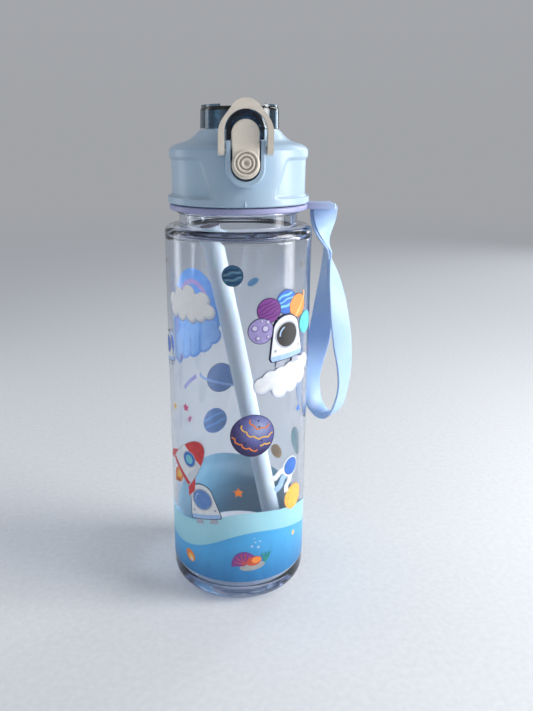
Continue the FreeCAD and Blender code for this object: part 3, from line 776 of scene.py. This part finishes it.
def wavy_planet():
    """Dark planet with a paler upper right, crossed by thin zigzag lines that sag in the middle."""
    radius, rim, line_inset, line_width, bend = 10.8, 0.35, 0.8, 0.7, (4.0, 9.0)
    layers = [(disc(0, 0, radius), NAVY), (disc(0, 0, radius - rim), DUSK)]
    lines = ((16.8, 206, 264, 0.55, ORANGE), (14.2, 268, 298, 0.4, YELLOW), (10.4, 200, 308, 0.5, YELLOW),
             (5.6, 186, 318, 0.45, ORANGE))
    for reach, start, end, swing, material in lines:
        line = zigzag_arc(bend, reach, start, end, swing)
        inside = [point for point in line if math.hypot(*point) < radius - line_inset]
        layers.append((strip(inside, line_width), material))
    for x, y in ((3.0, 4.4), (2.6, 7.6), (4.2, -2.8), (-6.2, 5.8), (-3.4, -3.6)):
        layers.append((disc(x, y, 0.45, count=20), NAVY))
    return layers


def rocket(size, tilt):
    """White rocket with a red nose, fins and tail band, a round window and a flame."""
    half_width, tail, length, nose_start = 5.3, -6.5, 15.4, 0.42

    def pointed(start):
        side = arc(0, tail, half_width, length, 90 * start, 90, 14)
        return side + mirrored(side[:-1])

    hull = pointed(0.0)
    nose = pointed(nose_start)
    shade = [(2.2, tail), (3.2, 0.0), (2.0, 5.4), nose[0]] + hull[5::-1]
    fin = [(1.0 - half_width, -6.0), (0.2 - half_width, -1.8), (-2.5 - half_width, -5.6),
           (-2.3 - half_width, -9.4)]
    flame = [(-1.9, -6.4), (-2.4, -9.4), (-1.0, -8.8), (0, -12.6), (1.0, -8.8), (2.4, -9.4), (1.9, -6.4)]
    core = [(-1.0, -6.4), (-1.1, -8.4), (0, -10.6), (1.1, -8.4), (1.0, -6.4)]
    band = [(0.2 - half_width, tail), (0.1 - half_width, -5.2), (half_width - 0.1, -5.2),
            (half_width - 0.2, tail)]
    layers = [
        (flame, ORANGE), (core, YELLOW), (fin, RED), (mirrored(fin), RED),
        (moved(hull, 0, -0.1, 0, 1.04), GREY), (hull, WHITE), (shade, CLOUD_SHADE), (nose, RED),
        (disc(0, 0.8, 2.7), GREY), (disc(0, 0.8, 2.35), BLUE), (disc(0, 0.8, 1.5), CYAN), (band, RED),
    ]
    return placed(layers, 0, 0, tilt, size)


def satellite(size, tilt):
    """Small satellite: a body, two panels on arms and a dish."""
    layers = []
    for side in (-1, 1):
        layers.append((block(side * 2.0, side * 4.4, -0.35, 0.35), GREY))
        layers.append((block(side * 4.2, side * 9.6, -2.4, 2.4), NAVY))
        for cell in range(3):
            left = side * (4.5 + 1.7 * cell)
            layers.append((block(left, left + side * 1.4, -2.0, 2.0), BLUE))
    body = block(-2.6, 2.6, -3.4, 3.4)
    layers += [
        (moved(body, size=1.1), NAVY), (body, WHITE), (block(-2.6, 2.6, -0.8, 0.6), ORANGE),
        (strip([(0, 3.4), (0, 5.2)], 0.5), GREY),
        (disc(0, 5.6, 2.2, 0.45), GREY), (disc(0, 6.0, 1.5, 0.4), WHITE),
    ]
    return placed(layers, 0, 0, tilt, size)


def capsule(glass, size, tilt, x=0.0, y=0.0):
    """Bell-shaped white space capsule with one big round window and two nozzles."""
    heel = [(-6.0, -6.0), (-5.6, -7.0), (5.6, -7.0), (6.0, -6.0)]
    shell = heel + arc(0, 2.0, 4.6, 4.2, 0, 180, 16)
    gleam = arc(0, 0.4, 2.6, 2.6, 110, 182, 8)
    layers = []
    for side in (-1, 1):
        nozzle = [(side * 1.8, -6.8), (side * 1.2, -9.0), (side * 4.6, -9.0), (side * 4.0, -6.8)]
        layers.append((nozzle, GREY))
    layers += [
        (moved(shell, 0, 0.1, 0, 1.05), NAVY), (shell, WHITE),
        ([(-5.8, -5.4)] + heel + [(5.8, -5.4)], SOFT_BLUE),
        (disc(0, 0.4, 4.2), GREY), (disc(0, 0.4, 3.7), glass),
        (disc(-4.4, -3.8, 0.45, count=16), GREY), (disc(4.4, -3.8, 0.45, count=16), GREY),
        (strip(gleam, 0.45), SOFT_BLUE),
    ]
    return placed(layers, x, y, tilt, size)


def comet(size, tilt):
    """Blue comet head with three pale trails."""
    layers = [
        (strip([(-1, 0.6), (-5, 3.4), (-8.2, 3.4), (-10.8, 5.4)], 2.8), WHITE),
        (strip([(-1, -0.4), (-6, -0.2), (-9.4, -1.6), (-12.4, -1.0)], 3.0), SOFT_BLUE),
        (strip([(-1, -1.6), (-4.5, -4.6), (-7.4, -4.8), (-9.4, -7.2)], 2.6), WHITE),
        (disc(0, 0, 4.6), WHITE), (disc(0.2, -0.1, 4.0), NAVY), (disc(0.2, -0.1, 3.8), BLUE),
    ]
    return placed(layers, 0, 0, tilt, size)


def rainbow():
    """Arch of pale blue and pink bands, one inside the next, over a plain sky-blue cloud."""
    layers = []
    for material, half_width, rise in ((RAINBOW_BLUE, 20.6, 30.3), (RAINBOW_PINK, 15.8, 24.6),
                                       (RAINBOW_BLUE, 13.4, 22.0), (SKY_CLOUD, 9.6, 17.0)):
        arch = arc(0, 0, half_width, rise, 0, 180, 36)
        layers.append((arch + [(-half_width, -4.0), (half_width, -4.0)], material))
    layers += cloud(BACK_CLOUD, 0.0, -9.4, SKY_SHADE, SKY_SHADE, SKY_CLOUD)
    for x in (-7.0, 0.2, 7.2):
        layers.append((strip([(x, -16.0), (x - 0.4, -11.0), (x, -7.0)], 0.9), SKY_SHADE))
    return layers


def sea_cluster():
    """Small heap on the wave band: a fan, a round shell, a pebble and a sprig of weed."""
    fan = [(0, -4.4)] + arc(0, -4.4, 6.6, 8.2, 28.8, 172.8, 16)
    layers = [(disc(2.2, -4.6, 6.6, 0.36, 6), PEBBLE), (moved(fan, -2.6, 0.2, 12), PLUM)]
    for tip in arc(0, -4.0, 5.4, 6.8, 43.2, 151.2, 4):
        layers.append((moved(strip([(0, -3.8), tip], 0.45), -2.6, 0.2, 12), SHELL_RED))
    layers += [(disc(3.0, -1.6, 3.9, 0.66, 14), SHELL_RED), (disc(4.2, -1.0, 2.5, 0.7, 14), TANGERINE)]
    for lean in (-0.6, 0.6, 1.8):
        layers.append((strip([(8.6, -3.0), (8.8 + lean, -0.4), (8.4 + lean * 1.7, 2.2)], 0.7), WEED))
    return layers


def small_shell():
    """Orange bivalve shell with a pale lip."""
    return [(disc(0, 0, 3.6, 0.82, -52), ORANGE), (disc(0.5, -0.9, 2.3, 0.6, -52), YELLOW),
            (disc(0.9, -1.7, 1.1, 0.6, -52), CLOUD_SHADE)]


def balloon_planets():
    """Bunch of planets on strings round a capsule that rests on a cloud; (0, 0) is near the
    capsule's middle."""
    layers = []
    for x, y in ((0.4, 14.0), (6.6, 12.0), (12.4, 5.0), (-6.8, 11.0), (-9.6, 4.2)):
        layers.append((strip([(x, y), (1.6, 5.0)], 0.35), GREY))
    aqua_bands = [(height, width, AQUA_STRIPE) for height, width in ((3.2, 1.0), (0.9, 0.7), (-1.6, 1.2))]
    plum_bands = [(height, 0.45, PLUM_DARK) for height in (3.6, 1.9, 0.2, -1.6, -3.4)]
    craters = [(-3.0, 1.4, 1.5), (1.9, 1.0, 1.7), (3.0, 4.0, 1.0), (0.2, 4.6, 0.7), (-1.4, -3.2, 1.2),
               (3.2, -2.8, 0.8)]
    layers += planet(5.8, OCEAN, 0.4, 17.2)
    layers += stripes(5.8, 0.4, 17.2, 16, aqua_bands)
    layers += ringed_planet(5.7, TANGERINE, 7.6, 14.4, 52, PEACH, ring_reach=1.3)
    layers += planet(5.3, AQUA_MOON, 14.6, 5.2, rim=AQUA_MOON)
    layers += planet(5.8, PLUM, -8.8, 14.2)
    layers += stripes(5.8, -8.8, 14.2, 26, plum_bands)
    layers += cratered_moon(6.0, -12.6, 5.0, craters)
    layers += cloud(SEAT_CLOUD, -0.6, -17.6)
    layers += capsule(VISOR, 1.55, 4, 0.6, 1.4)
    return layers


def teal_planet():
    """Small planet with dark and light stripes."""
    bands = [(2.6, 0.8, TEAL_DARK), (1.3, 0.8, TEAL_LIGHT), (-0.4, 0.8, TEAL_DARK), (-1.7, 0.8, TEAL_LIGHT),
             (-3.2, 0.6, TEAL_DARK)]
    return planet(4.75, TEAL) + stripes(4.75, 0, 0, 12, bands)


def steel_moon():
    """Steel-blue moon with two pale stripes."""
    bands = [(3.0, 1.2, SKY_CLOUD), (-1.8, 1.4, SKY_CLOUD)]
    return planet(7.6, STEEL_MOON, rim=SKY_SHADE) + stripes(7.6, 0, 0, -18, bands)


# ------------------------------------------------------------- print wrapped on the body

def add_layer(mesh, uv_layer, outline, angle, height, layer, slot):
    """Cut a flat outline into narrow strips and wrap it on the body as a thin film of ink."""
    patch = bmesh.new()
    face = patch.faces.new([patch.verts.new((x, y, 0)) for x, y in outline])
    bmesh.ops.triangulate(patch, faces=[face])
    low = min(x for x, _ in outline)
    high = max(x for x, _ in outline)
    cut = math.ceil(low / WRAP_STEP_MM) * WRAP_STEP_MM
    while cut < high:
        everything = patch.verts[:] + patch.edges[:] + patch.faces[:]
        bmesh.ops.bisect_plane(patch, geom=everything, plane_co=(cut, 0, 0), plane_no=(1, 0, 0))
        cut += WRAP_STEP_MM
    radius = BODY_RADIUS + INK_LIFT + layer * INK_STEP
    copies = {}
    for vert in patch.verts:
        turn = math.radians(angle) + vert.co.x * MM / BODY_RADIUS
        place = (radius * math.sin(turn), -radius * math.cos(turn), height * MM + vert.co.y * MM)
        copies[vert] = mesh.verts.new(place)
    for face in patch.faces:
        new_face = mesh.faces.new([copies[vert] for vert in face.verts])
        new_face.material_index = slot
        for loop, vert in zip(new_face.loops, face.verts):
            loop[uv_layer].uv = (vert.co.x * UV_PER_MM, vert.co.y * UV_PER_MM)
    patch.free()


def on_body(piece):
    """Print is part of the bottle and moves with it."""
    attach(piece, "bottle")


def picture(name, angle, height, layers):
    """One printed picture, its layers stacked at that angle and height. The same layers lie in
    reverse order underneath, which is what shows through the clear wall."""
    mesh = bmesh.new()
    uv_layer = mesh.loops.layers.uv.new("print")
    materials = []
    for index, (outline, material) in enumerate(layers[::-1] + layers[1:]):
        if material not in materials:
            materials.append(material)
        add_layer(mesh, uv_layer, outline, angle, height, index, materials.index(material))
    on_body(finish_mesh(name, mesh, materials))


def wave_ink(name, light, dark, opacity):
    """Sea ink, darker towards the bottom, with a wash that comes and goes."""
    shader = print_shader(name, light, 0.4, Alpha=opacity)
    wash = shader.noise(2.2, 4.0, 0.8, shader.place("UV"))
    depth = shader.add(shader.axis("Y", "UV"), wash, 0.35)
    shader.feed("Base Color", shader.ramp(depth, (0.15, dark), (1.0, light)))
    return shader.material


def wave_band(name, top, swell, phase, lift, material):
    """Printed sea round the foot of the body: a film with a wavy top edge."""
    radius = BODY_RADIUS + lift
    mesh = bmesh.new()
    uv_layer = mesh.loops.layers.uv.new("print")
    grid = []
    for i in range(WAVE_COLUMNS):
        turn = 2 * math.pi * i / WAVE_COLUMNS
        ripple = WAVE_RIPPLE * math.sin((2 * WAVE_CRESTS + 1) * turn + 2 * phase)
        edge = top + swell * (math.sin(WAVE_CRESTS * turn + phase) + ripple)
        column = []
        for j in range(WAVE_ROWS + 1):
            z = WAVE_FOOT + (edge - WAVE_FOOT) * j / WAVE_ROWS
            column.append(mesh.verts.new((radius * math.sin(turn), -radius * math.cos(turn), z)))
        grid.append(column)
    for i in range(WAVE_COLUMNS):
        right = (i + 1) % WAVE_COLUMNS
        for j in range(WAVE_ROWS):
            face = mesh.faces.new((grid[i][j], grid[right][j], grid[right][j + 1], grid[i][j + 1]))
            around = [(i, j), (i + 1, j), (i + 1, j + 1), (i, j + 1)]
            for loop, (u, v) in zip(face.loops, around):
                loop[uv_layer].uv = (u * WAVE_UV_WIDTH / WAVE_COLUMNS, v / WAVE_ROWS)
    on_body(finish_mesh(name, mesh, [material]))


# Stars as (angle, height, radius, ink) and bubbles as (angle, height, radius).
STARS = [
    (-5.0, 64.3, 2.8, ORANGE), (-51.0, 104.4, 2.4, PINK), (50.9, 102.4, 2.2, BLUE),
    (48.7, 33.5, 1.8, YELLOW), (-68.0, 102.0, 2.2, YELLOW), (78.0, 128.0, 2.4, PINK),
    (88.0, 96.0, 2.0, ORANGE), (-118.0, 118.0, 2.6, PURPLE), (-178.0, 126.0, 2.6, PINK),
    (160.0, 34.0, 2.0, YELLOW), (-88.0, 172.0, 2.0, ORANGE), (100.0, 168.0, 2.2, YELLOW),
    (-130.0, 80.0, 2.4, PINK),
]
BUBBLES = [(6.2, 34.0, 0.7), (9.0, 36.0, 0.5), (11.6, 33.2, 0.8), (8.2, 38.4, 0.4), (13.0, 36.4, 0.5)]


def make_print():
    """All printed pictures. Angles run from the front towards the strap, heights in mm."""
    wave_band("print_wave_pale", 47.9 * MM, 5.0 * MM, 1.10, 0.02 * MM,
              wave_ink("print_wave_pale", srgb(164, 224, 240), srgb(122, 198, 222), 0.9))
    wave_band("print_wave_deep", 34.9 * MM, 7.0 * MM, 0.94, 0.05 * MM,
              wave_ink("print_wave_deep", srgb(76, 176, 238), srgb(32, 118, 182), 0.94))
    picture("print_planet_small", -9.2, 170.3, teal_planet())
    # The front cloud's top takes the brighter white, painted light for its dim side.
    picture("print_cloud_front", -47.6, 157.6, cloud(FRONT_CLOUD, top=LIT_CLOUD_WHITE))
    picture("print_balloon_planets", 32.0, 140.2, balloon_planets())
    picture("print_planet_large", 6.2, 94.2, wavy_planet())
    picture("print_rocket", -49.5, 76.7, rocket(1.6, -38))
    picture("print_capsule_low", -35.5, 57.4, capsule(GLASS_BLUE, 1.4, 12))
    picture("print_capsule_left", -79.0, 132.0, capsule(OCEAN, 1.1, 12))
    picture("print_comet", 41.8, 73.2, comet(1.15, 42))
    picture("print_moon_gold", 47.0, 55.3, planet(6.8, GOLD_MOON, rim=ORANGE))
    picture("print_sea_cluster", 3.0, 27.2, sea_cluster())
    picture("print_shell_left", -49.7, 22.8, small_shell())
    picture("print_rainbow", -134.0, 133.4, rainbow())
    picture("print_planet_back", -167.4, 99.6, ringed_planet(8.6, STEEL_MOON, 0, 0, 18, SOFT_BLUE))
    picture("print_swoosh_back", -131.3, 101.5, [(strip([(-5.6, 1.9), (0, 0.5), (5.4, -1.7)], 2.6), LILAC)])
    picture("print_moon_steel", -161.0, 74.0, steel_moon())
    picture("print_chip_back", 161.4, 154.0, [(disc(0, 0, 3.6, 0.5, -32), AQUA_STRIPE)])
    picture("print_capsule_back", 112.0, 128.0, capsule(GLASS_BLUE, 1.1, -10))
    # Peach ink here is lighter than this planet's orange, to make up for its shaded place at the back:
    # painted light.
    picture("print_planet_orange", 133.8, 57.5, planet(4.2, PEACH, rim=PEACH))
    picture("print_satellite_back", 162.0, 63.0, satellite(0.9, 20))
    picture("print_moon_back", 100.0, 72.0, planet(7.4, AQUA_MOON, rim=TEAL))
    for index, (angle, height, radius, material) in enumerate(STARS):
        picture(f"print_star_{index:02d}", angle, height, [(star(radius, STAR_TURN * index), material)])
    for index, (angle, height, radius) in enumerate(BUBBLES):
        picture(f"print_bubble_{index}", angle, height, [(disc(0, 0, radius, count=20), SOFT_BLUE)])


# ------------------------------------------------------------- stage, light and camera

def make_camera():
    camera = bpy.data.objects.new("camera", bpy.data.cameras.new("camera"))
    bpy.context.scene.collection.objects.link(camera)
    camera.data.sensor_fit = "AUTO"
    camera.data.sensor_width = 36.0
    camera.data.lens = CAMERA_LENS
    camera.data.shift_x = CAMERA_SHIFT
    camera.data.clip_start = 0.01
    camera.location = (CAMERA_DISTANCE * math.sin(CAMERA_TURN), -CAMERA_DISTANCE * math.cos(CAMERA_TURN),
                       CAMERA_HEIGHT)
    camera.rotation_euler = (math.pi / 2 - CAMERA_PITCH, 0, CAMERA_TURN)
    bpy.context.scene.camera = camera


def make_light(name, place, aim_height, size, power, colour):
    """Rectangular soft lamp, aimed at that height on the bottle's middle line."""
    lamp = bpy.data.lights.new(name, "AREA")
    lamp.shape = "RECTANGLE"
    lamp.size, lamp.size_y = size
    lamp.energy = power
    lamp.color = colour
    light = bpy.data.objects.new(name, lamp)
    bpy.context.scene.collection.objects.link(light)
    light.location = place
    light.rotation_euler = (Vector((0, 0, aim_height)) - Vector(place)).to_track_quat("-Z", "Y").to_euler()


def make_world():
    """Soft studio surround: mid grey at the horizon, brighter overhead."""
    world = bpy.data.worlds.new("studio")
    world.use_nodes = True
    nodes, links = world.node_tree.nodes, world.node_tree.links
    place = nodes.new("ShaderNodeTexCoord")
    parts = nodes.new("ShaderNodeSeparateXYZ")
    links.new(place.outputs["Generated"], parts.inputs[0])
    ramp = nodes.new("ShaderNodeValToRGB")
    low, high = ramp.color_ramp.elements
    low.position, low.color = 0.02, HORIZON
    high.position, high.color = 0.8, OVERHEAD
    links.new(parts.outputs["Z"], ramp.inputs["Fac"])
    links.new(ramp.outputs["Color"], nodes["Background"].inputs["Color"])
    nodes["Background"].inputs["Strength"].default_value = 1.0
    bpy.context.scene.world = world


def make_floor():
    """Pale paper floor that fades into the horizon colour well away from the object."""
    shader = Shader("floor_paper", srgb(214, 217, 222), 0.75)
    fibre = shader.noise(320.0, 5.0)
    shader.feed("Base Color", shader.ramp(fibre, (0.3, srgb(216, 219, 224)), (0.7, srgb(224, 227, 231))))
    shader.bump(fibre, 0.1 * MM, 0.2)
    far = shader.nodes.new("ShaderNodeEmission")
    far.inputs["Color"].default_value = HORIZON
    fade = shader.remap(shader.distance(shader.place()), FADE_START, FADE_END, smooth=True)
    shader.pass_into(fade, far.outputs["Emission"])
    mesh = bmesh.new()
    bmesh.ops.create_circle(mesh, cap_ends=True, segments=96, radius=FLOOR_RADIUS)
    floor = finish_mesh("floor", mesh, [shader.material], smooth=False)
    floor.location.z = -FLOOR_DROP


def make_stage():
    bpy.context.scene.view_settings.view_transform = "Standard"
    make_world()
    make_floor()
    make_light("key", place=(0.80, -0.24, 0.46), aim_height=0.14, size=(0.40, 0.60), power=6.8,
               colour=(1.0, 0.985, 0.96))
    make_light("fill", place=(-0.8, -0.5, 0.35), aim_height=0.12, size=(0.35, 0.8), power=0.3,
               colour=(0.9, 0.95, 1.0))
    make_light("left_strip", place=(-0.46, 0.19, 0.28), aim_height=0.15, size=(0.14, 0.48), power=0.40,
               colour=(0.95, 0.98, 1.0))
    make_light("right_strip", place=(0.49, -0.09, 0.28), aim_height=0.15, size=(0.19, 0.48), power=1.15,
               colour=(1.0, 0.99, 0.97))
    make_light("back_strip", place=(0.80, 0.85, 0.60), aim_height=0.14, size=(0.25, 0.9), power=2.6,
               colour=(0.95, 0.98, 1.0))


make_camera()
make_stage()
dress_nodes()
make_print()
make_strap()
